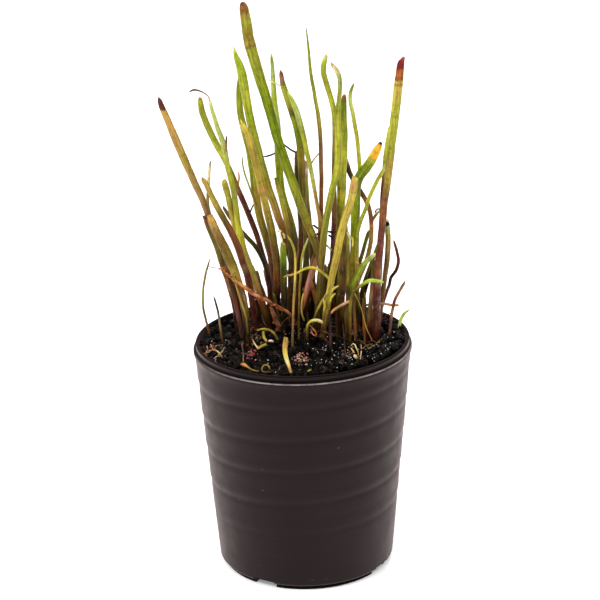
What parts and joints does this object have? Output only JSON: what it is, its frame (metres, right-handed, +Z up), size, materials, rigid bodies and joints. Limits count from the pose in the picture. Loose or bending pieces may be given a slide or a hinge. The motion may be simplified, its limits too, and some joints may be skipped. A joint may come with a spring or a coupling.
{
  "type": "potted creeping rush",
  "caption": "Small tapered plastic nursery pot, filled with black grit, holding a loose clump of slender upright rush leaves and stems, green to red-brown.",
  "frame": {"origin": "centre of the pot's underside, on the surface that the pot stands on", "axes": "+Z up along the pot's axis; -Y towards the viewer of the picture; +X to the viewer's right"},
  "size_m": [0.0672, 0.064, 0.1555],
  "materials": {
    "pot_plastic": "satin",
    "grit": "gloss",
    "green_leaf": "satin",
    "deep_green_leaf": "satin",
    "yellow_green_leaf": "satin",
    "olive_leaf": "satin",
    "ochre_leaf": "satin",
    "tan_leaf": "satin",
    "cream_root": "satin",
    "orange_leaf": "satin",
    "red_brown_stem": "satin",
    "maroon_stem": "satin",
    "dark_brown_stem": "satin"
  },
  "bodies": {
    "root": {"pot": "pot_plastic", "soil": "grit", "tall_leaf": "green_leaf", "pointed_green_leaf": "green_leaf", "back_green_leaf": "green_leaf", "bulging_leaf": "green_leaf", "bent_leaf_right": "green_leaf", "broad_green_leaf": "green_leaf", "diagonal_shoot": "green_leaf", "short_green_shoot": "green_leaf", "green_diagonal_leaf": "green_leaf", "orange_tip_leaf": "deep_green_leaf", "short_green_stem": "deep_green_leaf", "curled_tip_leaf": "yellow_green_leaf", "cut_yellow_leaf": "yellow_green_leaf", "pink_top_stub": "yellow_green_leaf", "edge_sprout": "yellow_green_leaf", "level_leaf": "yellow_green_leaf", "pale_thin_shoot": "yellow_green_leaf", "tan_left_stem": "olive_leaf", "grey_tip_shoot": "olive_leaf", "olive_leaf": "olive_leaf", "dark_top_stem": "olive_leaf", "brown_tip_leaf": "olive_leaf", "bent_leaf_left": "olive_leaf", "slim_hooked_leaf": "olive_leaf", "right_strip": "olive_leaf", "olive_diagonal_leaf": "olive_leaf", "front_brown_stem": "olive_leaf", "thin_olive_stem": "olive_leaf", "thin_right_stem": "olive_leaf", "thin_left_blade": "olive_leaf", "yellow_front_stem": "ochre_leaf", "yellow_curved_stem": "ochre_leaf", "pale_front_stem": "ochre_leaf", "far_left_leaf": "tan_leaf", "ragged_tan_leaf": "tan_leaf", "bead_stem": "tan_leaf", "front_rootlet": "tan_leaf", "clear_tip_shoot": "cream_root", "cream_hook": "cream_root", "cream_root_stub": "cream_root", "dead_orange_strip": "orange_leaf", "orange_stub": "orange_leaf", "slim_left_stem": "red_brown_stem", "needle_leaf": "red_brown_stem", "red_tip_stem": "red_brown_stem", "brown_runner": "red_brown_stem", "slim_right_stem": "red_brown_stem", "thin_brown_stem": "red_brown_stem", "dark_left_stub": "maroon_stem", "curved_left_leaf": "maroon_stem", "bent_maroon_stem": "maroon_stem", "maroon_front_stem": "maroon_stem", "dark_brown_stub": "dark_brown_stem", "grey_left_twig": "dark_brown_stem"}
  },
  "joints": []
}
